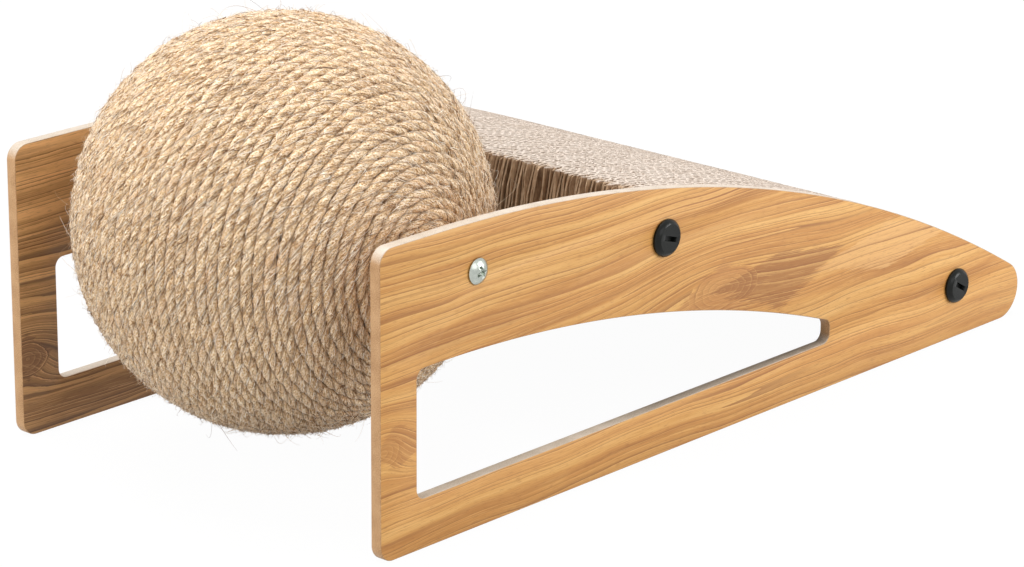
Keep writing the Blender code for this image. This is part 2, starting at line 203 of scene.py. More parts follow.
def camera_as_in_the_photograph():
    """The measured viewpoint: a long lens, a little above the ball, from the front left."""
    yaw, pitch, roll = -0.838999, 0.313591, 0.006894
    forward = Vector((-sin(yaw) * cos(pitch), cos(yaw) * cos(pitch), -sin(pitch)))
    level = Vector((cos(yaw), sin(yaw), 0))
    above = level.cross(forward)
    right = cos(roll) * level + sin(roll) * above
    up = -sin(roll) * level + cos(roll) * above
    data = bpy.data.cameras.new("camera")
    data.lens = 134.636
    data.sensor_width = 36
    data.clip_start = 0.05
    camera = new_object("camera", data)
    turn = Matrix((right, up, -forward)).transposed().to_4x4()
    camera.matrix_world = Matrix.Translation((-1.38974, -1.24435, 0.65673)) @ turn
    scene.camera = camera


# Room

def seen_directly(add):
    """1 where the eye, a reflection or a refraction sees the surface, and 0 where it lights others."""
    path = add("LightPath")
    seen = path.outputs["Is Camera Ray"]
    for ray in ("Is Glossy Ray", "Is Transmission Ray"):
        seen = add("Math", [seen, path.outputs[ray]], operation="MAXIMUM")
    return seen


def white_room():
    world = bpy.data.worlds.new("room")
    scene.world = world
    world.use_nodes = True
    tree = world.node_tree
    add = partial(add_node, tree)
    seen = seen_directly(add)
    level = add("MapRange", {"Value": seen, "To Min": WORLD_LEVEL, "To Max": 1.0})
    feed(tree.nodes["Background"], {"Strength": level, "Color": linear("#FFFFFF")})


def white_floor():
    """Matt white paper. The eye sees it nearly white, with the ramp's shadow left on it."""
    material, add, shader = new_finish("matt_white_paper")
    seen = seen_directly(add)
    # It lights the ramp from below no more than grey paper does
    tone = add("MixRGB", [seen, linear("#B9B8B6"), linear("#FAFAF9")])
    feed(shader, {"Base Color": tone, "Roughness": 0.9})
    share = add("Math", [seen, FLOOR_WHITENESS], operation="MULTIPLY")
    glow = add("Emission", {"Strength": 1.0})
    mixed = add("MixShader", [share, shader, glow])
    feed(material.node_tree.nodes["Material Output"], {"Surface": mixed})
    mesh = bpy.data.meshes.new("floor")
    shape = bmesh.new()
    bmesh.ops.create_grid(shape, x_segments=2, y_segments=2, size=8)
    shape.to_mesh(mesh)
    shape.free()
    floor = new_object("floor", mesh, [material])


def soft_lamp(name, place, size, power):
    """A square soft box that faces the ramp's middle."""
    data = bpy.data.lights.new(name, "AREA")
    data.size = size
    data.energy = power
    lamp = new_object(name, data)
    lamp.location = place
    lamp.rotation_euler = (Vector((0, 0, 0.08)) - Vector(place)).to_track_quat("-Z", "Y").to_euler()


WORLD_LEVEL = 0.48
FLOOR_WHITENESS = 0.97
LAMPS = (
    ("overhead_soft_box", (-0.15, 0.35, 2.1), 1.6, 49),
    ("front_soft_box", (-0.5, -2.3, 1.3), 1.4, 8),
    ("right_soft_box", (0.9, -1.4, 0.6), 0.8, 15),
    ("left_soft_box", (-2.2, 0.4, 1.0), 1.2, 27),
)


# Finishes

def board_place(add):
    """Where a point lies on the board in millimetres, from the front edge and the floor."""
    at = add("TexCoord").outputs["Object"]
    scaled = [at, [1 / MM] * 3, (-FRONT_EDGE / MM, 0, 0)]
    return add("VectorMath", scaled, operation="MULTIPLY_ADD")


def streaks(add, at, size, detail, roughness=0.5, shift=0):
    """Noise whose spots have the given size along each axis, shifted so that no two are alike."""
    scaled = [at, [1 / length for length in size], (shift, 0, shift)]
    scaled = add("VectorMath", scaled, operation="MULTIPLY_ADD")
    return add("TexNoise", {"Vector": scaled, "Scale": 1, "Detail": detail, "Roughness": roughness})


def oak_print(name, knots, eyes, flames, shade, bands, tones, ink, shown, painted_floor_shade):
    """Oak-look paper foil, printed and lightly embossed, with a satin lacquer.

    The eye gets yearly rings cut lengthwise: crisp brown late-wood lines that fade into honey bands,
    short pores, and lines that swell over each knot. Knots are x, z, half length, half height and
    swell in millimetres, and the lines follow the height less all the swells. Eyes are the closed
    rings in a knot, and flames the pointed darker or paler fields beside one: x, z, half length,
    half height, and for a flame how much flatter its upper half is and its strength.
    """
    material, add, shader = new_finish(name)
    place = board_place(add)
    parts = add("SeparateXYZ", [place])

    def share_of(x, z, long, high):
        """Where a point lies from a middle, in half lengths and half heights."""
        away = add("VectorMath", [place, (x, 0, z)], operation="SUBTRACT")
        return add("VectorMath", [away, (1 / long, 0, 1 / high)], operation="MULTIPLY")

    ring = parts.outputs["Z"]
    for x, z, long, high, swell in knots:
        share = share_of(x, z, long, high)
        square = add("VectorMath", [share, share], operation="DOT_PRODUCT").outputs["Value"]
        fade = add("Math", [exp(-1), square], operation="POWER")
        ring = add("Math", [fade, -swell, ring], operation="MULTIPLY_ADD")
    level = add("CombineXYZ", [parts.outputs["X"], parts.outputs["Z"], shade * 10])
    # Slow drift of the lines, and the fibres that fray each line
    drift = streaks(add, level, (120, 60, 1), 2, 0.4, shade)
    ring = add("Math", [drift, 14, ring], operation="MULTIPLY_ADD")
    fray = streaks(add, level, (22, 0.9, 1), 3, 0.6, shade)
    ring = add("Math", [fray, 0.55, ring], operation="MULTIPLY_ADD")
    along = add("CombineXYZ", [parts.outputs["X"], ring, shade * 10])
    # One ring every 3.4 mm, unevenly spaced
    uneven = streaks(add, along, (600, 8, 1), 1)
    turn = add("Math", [ring, 1 / 3.4], operation="MULTIPLY")
    turn = add("Math", [uneven, 5, turn], operation="MULTIPLY_ADD")
    year = add("Math", [turn], operation="FRACT")
    # Lines come and go along their length
    show = streaks(add, along, (180, 4, 1), 2)
    limits = {"From Min": 0.36, "From Max": 0.6, "To Min": shown[0], "To Max": shown[1]}
    show = add("MapRange", {"Value": show, **limits})
    # Rings 2.2 mm apart in the eye of each knot
    warp = streaks(add, level, (30, 12, 1), 1, 0.5, 7)
    for x, z, long, high in eyes:
        size = add("VectorMath", [share_of(x, z, long, high)], operation="LENGTH").outputs["Value"]
        size = add("Math", [warp, 0.5, size], operation="MULTIPLY_ADD")
        size = add("Math", [fray, 0.12, size], operation="MULTIPLY_ADD")
        count = add("Math", [size, high / 2.2], operation="MULTIPLY")
        count = add("Math", [count], operation="FRACT")
        inside = add("Math", [size, 1.31], operation="LESS_THAN")
        year = add("MixRGB", [inside, year, count])
        # They are fainter than the long lines, apart from the outermost
        outermost = add("MapRange", {"Value": size, "From Min": 1.12, "From Max": 1.2, "To Min": 0.42})
        show = add("Math", [show, outermost], operation="MULTIPLY")
    line = add("ValToRGB", [year], stops=RING_LINE)
    crest = add("ValToRGB", [year], stops=RING_CREST)
    line = add("Math", [line, show], operation="MULTIPLY")
    band = streaks(add, along, (200, 9, 1), 3, 0.55, 5)
    # Painted shade: darker towards the floor, none on the outer faces and more on the inner ones
    low = {"Value": parts.outputs["Z"], "From Max": 150, "To Min": -painted_floor_shade, "To Max": painted_floor_shade}
    band = add("Math", [band, add("MapRange", low)], operation="ADD")
    colour = add("ValToRGB", [band], stops=bands)
    for (x, z, long, high, flat, most), tone in zip(flames, tones):
        share = add("SeparateXYZ", [share_of(x, z, long, high)])
        size = add("Math", [share.outputs["X"]], operation="ABSOLUTE")
        above = add("Math", [share.outputs["Z"], flat], operation="MULTIPLY")
        below = add("Math", [share.outputs["Z"], -1], operation="MULTIPLY")
        tall = add("Math", [above, below], operation="MAXIMUM")
        size = add("Math", [size, tall], operation="ADD")
        size = add("Math", [fray, 0.8, size], operation="MULTIPLY_ADD")
        inside = add("MapRange", {"Value": size, "From Min": 1.42, "From Max": 1.34, "To Max": most})
        colour = add("MixRGB", [inside, colour, linear(tone)])
    # Fibres about 0.4 mm wide, darker and paler
    fibre = streaks(add, along, (26, 0.4, 1), 2, 0.6)
    dark = add("MapRange", {"Value": fibre, "From Min": 0.5, "From Max": 0.72, "To Max": 0.5})
    colour = add("MixRGB", [dark, colour, linear(bands[0][1])])
    pale = add("MapRange", {"Value": fibre, "From Min": 0.47, "From Max": 0.3, "To Max": 0.5})
    colour = add("MixRGB", [pale, colour, linear(bands[-1][1])])
    crest = add("Math", [crest, show], operation="MULTIPLY")
    colour = add("MixRGB", [crest, colour, linear(bands[-1][1])])
    colour = add("MixRGB", [line, colour, linear(ink)])
    # Pores: dark dashes 6 mm long and 0.35 mm wide
    pore = streaks(add, along, (6, 0.35, 1), 1, 0.5, 3)
    pore = add("MapRange", {"Value": pore, "From Min": 0.6, "From Max": 0.72, "To Max": 0.45})
    colour = add("MixRGB", [pore, colour, linear(ink)])
    rough = add("MapRange", {"Value": fibre, "To Min": 0.42, "To Max": 0.56})
    bump = add("Bump", {"Strength": 0.3, "Distance": 0.06 * MM, "Height": fibre}, invert=True)
    feed(shader, {"Base Color": colour, "Roughness": rough, "Normal": bump})
    return material


# How dark the late-wood line is through a year, and how pale the wood beside it
RING_LINE = (
    *((0, "#F4F4F4"), (0.14, "#CCCCCC"), (0.28, "#707070")),
    *((0.5, "#2C2C2C"), (0.8, "#000000"), (0.985, "#202020")),
)
RING_CREST = ((0.72, "#000000"), (0.88, "#C0C0C0"), (0.98, "#C0C0C0"), (1, "#000000"))

# The foil on the outer and the inner faces: its bands, the tones of its flames, its ink, how much of the
# lines shows, and how much darker it is towards the floor. The inner foil is a darker, browner copy of the
# outer one, painted shade for the faces that look in between the panels.
OUTER_FOIL = (
    ((0.32, "#AF7638"), (0.44, "#C68C48"), (0.56, "#D29C55"), (0.72, "#E2B26C")),
    ("#B27844", "#8F5828", "#E0B074", "#A96F38"),
    "#8C5526",
    (0.3, 0.9),
    0,
)
SHADED_INNER_FOIL = (
    ((0.28, "#8C6238"), (0.4, "#A6794A"), (0.54, "#C3945D"), (0.68, "#E6B277")),
    ("#A26F42", "#8C5C30", "#C8A06E", "#6E4526"),
    "#54341A",
    (0.6, 1),
    0.16,
)


def fibreboard_edge():
    """Lacquered edge of 6 mm fibreboard: even and felty, with fine brown flecks.

    It is tan where it stands upright, and painted paler and greyer where it faces up, as painted top light.
    """
    material, add, shader = new_finish("lacquered_fibreboard_edge")
    place = board_place(add)
    # Flecks about 0.4 mm across
    fleck = add("TexNoise", {"Vector": place, "Scale": 2.2, "Detail": 3, "Roughness": 0.7})
    cloud = add("TexNoise", {"Vector": place, "Scale": 0.09, "Detail": 2})
    value = add("Math", [cloud, 0.35, fleck], operation="MULTIPLY_ADD")
    tan = add("ValToRGB", [value], stops=UPRIGHT_EDGE)
    # Painted top light: a paler, greyer copy of the edge's colour, for where it faces up
    painted_top_light_tone = add("ValToRGB", [value], stops=PAINTED_TOP_LIGHT_EDGE)
    facing = add("SeparateXYZ", [add("NewGeometry").outputs["Normal"]]).outputs["Z"]
    upward = add("MapRange", {"Value": facing, "From Min": 0.15, "From Max": 0.75})
    colour = add("MixRGB", [upward, tan, painted_top_light_tone])
    bump = add("Bump", {"Strength": 0.3, "Distance": 0.08 * MM, "Height": fleck})
    feed(shader, {"Base Color": colour, "Roughness": 0.45, "Normal": bump})
    return material


# The edge's tan where it stands upright, and the paler, greyer copy that paints the top light where it faces
# up
UPRIGHT_EDGE = ((0.45, "#8E663D"), (0.62, "#AB8155"), (0.8, "#C79F74"))
PAINTED_TOP_LIGHT_EDGE = ((0.45, "#9E8E7A"), (0.6, "#B6A795"), (0.75, "#C6B8A8"))


def jute_yarn():
    """Twisted jute: dull straw fibres along each strand with others across them, and painted shade in the
    grooves.
    """
    material, add, shader = new_finish("twisted_jute_yarn")
    strand = add("Attribute", attribute_name="along_strand").outputs["Vector"]
    value = 0.0
    # Fibres 0.1 mm wide are drawn 0.5 mm wide so that they show
    for long, wide, angle, weight in YARN_FIBRES:
        turned_at = add("Mapping", {"Vector": strand, "Rotation": (0, 0, angle)})
        noise = streaks(add, turned_at, (long, wide, 1), 2, 0.6)
        value = add("Math", [noise, weight, value], operation="MULTIPLY_ADD")
    colour = add("ValToRGB", [value], stops=JUTE_FIBRES)
    # Yarn from another bale now and then: redder for 60 mm or so
    bale = streaks(add, strand, (60, 9, 1), 1)
    bale = add("MapRange", {"Value": bale, "From Min": 0.5, "From Max": 0.75, "To Max": 0.45})
    colour = add("MixRGB", [bale, colour, linear("#D3AA82")])
    # Bits of bark and pale fluff, 0.9 mm across
    speck = streaks(add, strand, (0.9, 0.9, 1), 1)
    for first, last, tone in ((0.6, 0.68, "#7D5731"), (0.4, 0.32, "#FFF8EC")):
        share = add("MapRange", {"Value": speck, "From Min": first, "From Max": last, "To Max": 0.7})
        colour = add("MixRGB", [share, colour, linear(tone)])
    # Painted shade: browner where the crest attribute falls to 0, in the grooves between strands and on their
    # inward sides
    crest = add("Attribute", attribute_name="crest").outputs["Fac"]
    painted_groove_shade = add("MapRange", {"Value": crest, "From Max": 0.4, "To Min": 0.62, "To Max": 0})
    colour = add("MixRGB", [painted_groove_shade, colour, linear("#77502F")])
    bump = add("Bump", {"Strength": 1.0, "Distance": 0.5 * MM, "Height": value})
    feed(shader, {"Base Color": colour, "Normal": bump, "Roughness": 0.75})
    feed(shader, {"Specular IOR Level": 0.25, "Sheen Weight": 0.3})
    return material


# Fibres in the yarn: length and width in millimetres, angle across the strand, and weight. The last
# are clumps.
YARN_FIBRES = ((2.6, 0.5, 0, 0.32), (1.7, 0.5, 0.8, 0.25), (1.7, 0.5, -0.7, 0.23), (4, 1.1, 0.1, 0.2))
JUTE_FIBRES = ((0.42, "#8A5D31"), (0.47, "#CDA676"), (0.52, "#E8CDA5"), (0.58, "#F5E8D4"))


def loose_jute():
    """Loose jute fibres: straw to pale cream, each of one tone."""
    material, add, shader = new_finish("loose_jute_fibre")
    tint = add("Attribute", attribute_name="tint").outputs["Fac"]
    colour = add("ValToRGB", [tint], stops=LOOSE_FIBRES)
    feed(shader, {"Base Color": colour, "Roughness": 0.5, "Specular IOR Level": 0.35})
    return material


LOOSE_FIBRES = ((0, "#5E3D20"), (0.3, "#AC845A"), (0.5, "#E2C8A6"), (1, "#FFF9EE"))


def kraft_paper(name, deep, top, roughness):
    """Brown kraft paper. The eye gets short pulp fibres and slow clouds.

    Near the pad's top, where the paper was cut and is scratched, it has a pale down about 1 mm deep. The
    brown below it is partly the kraft's own and partly darkened as painted shade, for the flute holes and the
    frayed front ends.
    """
    material, add, shader = new_finish(name)
    place = board_place(add)
    # Pulp 1.1 mm wide and 3.3 mm tall
    pulp = streaks(add, place, (10 / 9, 10 / 9, 10 / 3), 2)
    cloud = add("TexNoise", {"Vector": place, "Scale": 0.09, "Detail": 2})
    value = add("Math", [cloud, 0.8, pulp], operation="MULTIPLY_ADD")
    value = add("MapRange", {"Value": value, "From Min": 0.65, "From Max": 1.15})
    # The deep brown: the kraft's own, partly darkened as painted shade for the flute holes and the front ends
    brown = add("MixRGB", [value, linear(deep[0]), linear(deep[1])])
    pale = add("MixRGB", [value, linear(top[0]), linear(top[1])])
    centre = (TOP_CENTRE[0] / MM, 0, TOP_CENTRE[1] / MM)
    away = add("VectorMath", [place, centre], operation="SUBTRACT")
    away = add("VectorMath", [away, (1, 0, 1)], operation="MULTIPLY")
    reach = add("VectorMath", [away], operation="LENGTH").outputs["Value"]
    reach = add("Math", [pulp, 1.4, reach], operation="MULTIPLY_ADD")
    down = {"From Min": TOP_RADIUS / MM - 0.2, "From Max": TOP_RADIUS / MM + 0.5}
    down = add("MapRange", {"Value": reach, **down})
    colour = add("MixRGB", [down, brown, pale])
    feed(shader, {"Base Color": colour, "Roughness": roughness, "Specular IOR Level": 0.3})
    return material


def clouded(name, colour, clouds, roughness, grain, relief):
    """A hard finish of two near tones in slow clouds, which change its gloss too, with a fine grain.

    Clouds are spots for each metre and detail, and the grain is millimetres, detail and roughness.
    """
    material, add, shader = new_finish(name)
    at = add("TexCoord").outputs["Object"]
    size, detail, rough = grain
    grain = {"Scale": 1 / (size * MM), "Detail": detail, "Roughness": rough}
    grain = add("TexNoise", {"Vector": at, **grain})
    cloud = add("TexNoise", {"Vector": at, "Scale": clouds[0], "Detail": clouds[1]})
    tone = add("MixRGB", [cloud, linear(colour[0]), linear(colour[1])])
    gloss = add("MapRange", {"Value": cloud, "To Min": roughness[0], "To Max": roughness[1]})
    bump = add("Bump", {"Strength": relief, "Distance": 0.03 * MM, "Height": grain})
    feed(shader, {"Base Color": tone, "Roughness": gloss, "Normal": bump})
    return material, shader


def moulded_plastic(name, colour, roughness, grain_mm, shine=0.5):
    """Injection-moulded plastic: one colour, with a fine spark-eroded grain that softens its shine."""
    gloss = (roughness - 0.07, roughness + 0.07)
    material, shader = clouded(name, colour, (260, 1), gloss, (grain_mm, 2, 0.5), 0.25)
    feed(shader, {"Specular IOR Level": shine})
    return material


def bare_metal(name, colour, roughness, grain_mm):
    """Plated or turned metal: bright, with faint cloudy wear and fine marks from barrel plating."""
    gloss = (roughness - 0.06, roughness + 0.08)
    material, shader = clouded(name, colour, (400, 2), gloss, (grain_mm, 3, 0.7), 0.15)
    feed(shader, {"Metallic": 1.0})
    return material


def turned_beech():
    """Beech dowel: even pinkish tan, with the short dark flecks that mark beech."""
    material, add, shader = new_finish("turned_beech")
    at = add("TexCoord").outputs["Object"]
    # Flecks 2 mm long and 0.4 mm wide, and grain 3.3 mm wide, along the bar
    fleck = streaks(add, at, (0.4 * MM, 2 * MM, 0.4 * MM), 2)
    grain = streaks(add, at, (1 / 300, 1 / 14, 1 / 300), 3)
    colour = add("ValToRGB", [grain], stops=((0.35, "#CFA273"), (0.65, "#E2BE92")))
    mark = add("MapRange", {"Value": fleck, "From Min": 0.62, "From Max": 0.72, "To Max": 0.6})
    colour = add("MixRGB", [mark, colour, linear("#9C6B40")])
    feed(shader, {"Base Color": colour, "Roughness": 0.6})
    return material


# Shapes

def arc(centre, radius, start, end, step):
    """Points of an arc from one angle to the other, both ends included."""
    count = max(2, round(abs(end - start) / step))
    angles = [start + (end - start) * i / count for i in range(count + 1)]
    return [(centre[0] + radius * cos(a), centre[1] + radius * sin(a)) for a in angles]


def bar_place(along):
    """The middle of a cross bar, which lies at one depth under the curved top."""
    reach = along - TOP_CENTRE[0]
    return along, TOP_CENTRE[1] + sqrt((TOP_RADIUS - BAR_DEPTH) ** 2 - reach**2)


def panel_outline():
    front = FRONT_CORNER_RADIUS
    return (
        arc((front, front), front, 1.5 * pi, pi, CORNER_STEP)
        + arc((front, FRONT_HEIGHT - front), front, pi, 0.5 * pi, CORNER_STEP)
        + arc(TOP_CENTRE, TOP_RADIUS, 0.5 * pi, NOSE_ANGLE, ARC_STEP)
        + arc((NOSE_AT, NOSE_RADIUS), NOSE_RADIUS, NOSE_ANGLE, -0.5 * pi, CORNER_STEP)[1:]
    )


def window_outline():
    radius = WINDOW_CORNER_RADIUS
    top = TOP_RADIUS - WINDOW_TOP_BAND
    end_rise = WINDOW_FLOOR_MARGIN + WINDOW_END_HEIGHT - TOP_CENTRE[1]
    left = WINDOW_FRONT_MARGIN + radius
    right = TOP_CENTRE[0] + sqrt(top**2 - end_rise**2) - radius
    low = WINDOW_FLOOR_MARGIN + radius

    def upper_corner(x):
        z = TOP_CENTRE[1] + sqrt((top - radius) ** 2 - (x - TOP_CENTRE[0]) ** 2)
        return z, atan2(z - TOP_CENTRE[1], x - TOP_CENTRE[0])

    left_z, left_angle = upper_corner(left)
    right_z, right_angle = upper_corner(right)
    return (
        arc((left, low), radius, 1.5 * pi, pi, CORNER_STEP)
        + arc((left, left_z), radius, pi, left_angle, CORNER_STEP)
        + arc(TOP_CENTRE, top, left_angle, right_angle, ARC_STEP)[1:-1]
        + arc((right, right_z), radius, right_angle, 0, CORNER_STEP)
        + arc((right, low), radius, 0, -0.5 * pi, CORNER_STEP)
    )


def shaped_mesh(thing):
    """The mesh of a curve or object as its settings and modifiers shape it."""
    return bpy.data.meshes.new_from_object(thing.evaluated_get(bpy.context.evaluated_depsgraph_get()))


def side_panel(name, side, outer, inner, edge):
    """A board cut to the outline, with a foil on each face and its edges a little rounded."""
    curve = bpy.data.curves.new(name, "CURVE")
    curve.dimensions = "2D"
    curve.fill_mode = "BOTH"
    curve.extrude = PANEL_THICKNESS / 2 - EDGE_ROUNDING
    curve.bevel_depth = EDGE_ROUNDING
    curve.bevel_resolution = 1
    curve.offset = -EDGE_ROUNDING
    hole, step = SCREW_RADIUS + SCREW_CLEARANCE, 2 * pi / HOLE_SIDES
    places = [AXLE] + [bar_place(at) for at in BARS_AT.values()]
    holes = [arc(place, hole, 0, 2 * pi - step, step) for place in places]
    for loop in [panel_outline(), window_outline()] + holes:
        spline = curve.splines.new("POLY")
        spline.points.add(len(loop) - 1)
        for point, (x, z) in zip(spline.points, loop):
            point.co = (x, z, 0, 1)
        spline.use_cyclic_u = True
    drawn = new_object(name, curve)
    mesh = shaped_mesh(drawn)
    bpy.data.objects.remove(drawn)
    middle = side * (HALF_WIDTH - PANEL_THICKNESS / 2)
    mesh.transform(Matrix.Translation((FRONT_EDGE, middle, 0)) @ Matrix.Rotation(pi / 2, 4, "X"))
    shape = bmesh.new()
    shape.from_mesh(mesh)
    bmesh.ops.remove_doubles(shape, verts=shape.verts, dist=0.002 * MM)
    bmesh.ops.recalc_face_normals(shape, faces=shape.faces)
    for face in shape.faces:
        flat = abs(face.normal.y) > 0.999
        outside = face.normal.y * side > 0
        face.material_index = (0 if outside else 1) if flat else 2
        face.smooth = not flat
    shape.to_mesh(mesh)
    shape.free()
    mesh.set_sharp_from_angle(angle=radians(50))
    piece = new_object(f"{name}_board", mesh, [outer, inner, edge])
    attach(piece, "frame")
    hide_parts(name)


def wander(at, reach, spacing, rng):
    """A smooth random line as far as reach on both sides of 0, with a new value at each spacing."""
    cell = at / spacing
    index = np.floor(cell).astype(int)
    share = cell - index
    share = share * share * (3 - 2 * share)
    values = rng.uniform(-1, 1, index.max() + 2)
    return reach * (values[index] * (1 - share) + values[index + 1] * share)


# A rope's middle line: length so far, turns so far, points, and three directions at each point
Rope = namedtuple("Rope", "run revolution middle forward outward across")
# Its surface: points round each cut, the way that each faces, and 1 on a strand's crest
Skin = namedtuple("Skin", "points facing crest")


def rope_path(rng):
    """The rope's middle line from the left pole to the right."""
    pitch = (pi - 2 * POLE_GAP) / ROPE_TURNS
    revolution = np.linspace(0, ROPE_TURNS - 1, 60000)
    lean = POLE_GAP + pitch * (revolution + 0.5)
    steps = 2 * pi * ROPE_MIDDLE * np.sin(lean[1:]) * np.diff(revolution)
    length = np.concatenate([[0], np.cumsum(steps)])
    run = np.arange(0, length[-1], ROPE_STEP)
    revolution = np.interp(run, length, revolution)
    lean = POLE_GAP + pitch * (revolution + 0.5) + wander(run, *SIDEWAYS_DRIFT, rng) / ROPE_MIDDLE
    radius = ROPE_MIDDLE + wander(run, *HEIGHT_DRIFT, rng)
    turn = 2 * pi * revolution
    outward = np.stack([np.sin(lean) * np.cos(turn), -np.cos(lean), np.sin(lean) * np.sin(turn)], 1)
    forward = np.stack([-np.sin(turn), np.zeros_like(turn), np.cos(turn)], 1)
    middle = BALL_CENTRE + outward * radius[:, None]
    return Rope(run, revolution, middle, forward, outward, np.cross(forward, outward))


def rope_surface(rope, rng):
    """The surface of the three-strand rope, which is laid to the right and flat on the ball."""
    bend, run = STRAND_CORNERS, rope.run
    lobe = STRAND_MIDDLE * np.cos(bend) + np.sqrt(STRAND_RADIUS**2 - (STRAND_MIDDLE * np.sin(bend)) ** 2)
    angles = np.concatenate([bend + strand * 2 * pi / 3 for strand in range(3)])
    swell = np.stack([1 + wander(run, *STRAND_SWELL, rng) for strand in range(3)], 1)
    tufts = np.stack([wander(run, *TUFTS, rng) for angle in angles], 1)
    reach = np.tile(lobe, 3) * swell.repeat(len(bend), axis=1) + tufts
    twist = 2 * pi * run / ROPE_LAY + wander(run, *TWIST_DRIFT, rng)
    facing = angles + twist[:, None]
    up = (reach * np.cos(facing))[..., None] * rope.outward[:, None]
    aside = (reach * np.sin(facing) * ROPE_FLATTENING)[..., None] * rope.across[:, None]
    from_centre = rope.middle[:, None] + up + aside - BALL_CENTRE
    distance = np.linalg.norm(from_centre, axis=2, keepdims=True)
    points = BALL_CENTRE + from_centre * np.maximum(distance, ROPE_SEAT) / distance
    high = (lobe - lobe.min()) / (lobe.max() - lobe.min())
    crest = np.tile(high, 3) * np.clip(np.cos(facing) * 0.9 + 0.45, 0, 1)
    return Skin(points, facing, crest)


def set_layer(mesh, name, kind, values):
    """Stores a number or a vector for each point of a mesh."""
    layer = mesh.attributes.new(name, kind, "POINT")
    layer.data.foreach_set("vector" if kind == "FLOAT_VECTOR" else "value", values.astype(np.float32).ravel())


def rope_winding(rope, skin, jute):
    """One three-strand rope, wound from pole to pole. It is glued all the way."""
    run, revolution = rope.run, rope.revolution
    count, sides = skin.facing.shape
    ring, side = np.meshgrid(np.arange(count - 1), np.arange(sides), indexing="ij")
    following = (side + 1) % sides
    faces = np.stack([ring * sides + side, ring * sides + following], -1)
    faces = np.concatenate([faces, faces[..., ::-1] + sides], -1).reshape(-1, 4)
    ends = [list(range(sides))[::-1], list(range((count - 1) * sides, count * sides))]
    mesh = bpy.data.meshes.new("rope_winding_strands")
    mesh.from_pydata(skin.points.reshape(-1, 3).tolist(), [], faces.tolist() + ends)
    mesh.shade_smooth()
    # Coordinates for the fibres, in millimetres along the rope and round it
    round_it = ROPE_GIRTH / MM / sides * np.arange(sides)
    strand = np.repeat([0, 5, 10], len(STRAND_CORNERS))
    along = np.broadcast_arrays(run[:, None] / MM, round_it, strand)
    set_layer(mesh, "along_strand", "FLOAT_VECTOR", np.stack(along, -1))
    # The crest, from which the yarn paints shade into the grooves
    set_layer(mesh, "crest", "FLOAT", skin.crest)
    # A map with one row for each turn, so that the fibres keep their scale
    row = np.floor(revolution[:-1])
    starts = np.interp(row, revolution, run)
    longest = 2 * pi * ROPE_MIDDLE * 1.01
    near, far = (run[:-1] - starts) / longest, (run[1:] - starts) / longest
    low = (row[:, None] + 0.04 + 0.92 * np.arange(sides) / sides) / ROPE_TURNS
    top = low + 0.92 / sides / ROPE_TURNS
    near, far = (np.broadcast_to(edge[:, None], low.shape) for edge in (near, far))
    pairs = ((near, low), (near, top), (far, top), (far, low))
    corners = np.stack([np.stack(pair, -1) for pair in pairs], 2)
    chart = mesh.uv_layers.new(name="OFBake")
    flat = np.zeros((len(mesh.loops), 2), np.float32)
    flat[: corners.size // 2] = corners.reshape(-1, 2)
    chart.data.foreach_set("uv", flat.ravel())
    piece = new_object("rope_winding_strands", mesh, [jute])
    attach(piece, "ball")
    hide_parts("rope_winding")


def fibres(name, path, out, half_thick, rng, jute):
    """Fibres as three-sided tubes along the given points, each with its own tone and place in the map."""
    count, steps = path.shape[:2]
    heading = np.gradient(path, axis=1)
    heading = heading / np.linalg.norm(heading, axis=2, keepdims=True)
    first = np.cross(heading, out[:, None])
    first = first / np.linalg.norm(first, axis=2, keepdims=True)
    second = np.cross(heading, first)
    taper = 1 - 0.7 * np.linspace(0, 1, steps) ** 2
    thick = half_thick[:, None, None, None] * taper[:, None, None]
    angle = 2 * pi / 3 * np.arange(3)[:, None]
    around = np.cos(angle) * first[:, :, None] + np.sin(angle) * second[:, :, None]
    points = path[:, :, None] + thick * around
    each = np.arange(count)
    starts = each[:, None] * 3 * steps
    base = starts[:, None] + np.arange(steps - 1)[:, None] * 3
    side, following = np.arange(3), np.array([1, 2, 0])
    walls = [base + side, base + following, base + 3 + following, base + 3 + side]
    walls = np.stack(walls, -1).reshape(-1, 4)
    ends = np.concatenate([starts + [2, 1, 0], starts + 3 * steps - 3 + [0, 1, 2]])
    mesh = bpy.data.meshes.new(name)
    mesh.from_pydata(points.reshape(-1, 3).tolist(), [], walls.tolist() + ends.tolist())
    mesh.shade_smooth()
    set_layer(mesh, "tint", "FLOAT", np.repeat(rng.random(count), 3 * steps))
    # One square of the map for each fibre
    across = int(np.ceil(np.sqrt(count)))
    square = np.stack([each % across, each // across], 1)[:, None, None, None]
    step = np.arange(steps - 1)[None, :, None]
    corners = [
        np.stack(np.broadcast_arrays((step + a) / (steps - 1), (side + b) / 3), -1)
        for a, b in ((0, 0), (0, 1), (1, 1), (1, 0))
    ]
    corners = np.stack(corners, 3)
    walls_map = (square + 0.1 + 0.8 * corners) / across
    caps = np.broadcast_to((square[:, 0, 0] + 0.5) / across, (count, 3, 2))
    flat = np.concatenate([walls_map.reshape(-1, 2), caps.reshape(-1, 2), caps.reshape(-1, 2)])
    mesh.uv_layers.new(name="OFBake").data.foreach_set("uv", flat.astype(np.float32).ravel())
    piece = new_object(name, mesh, [jute])
    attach(piece, "ball")


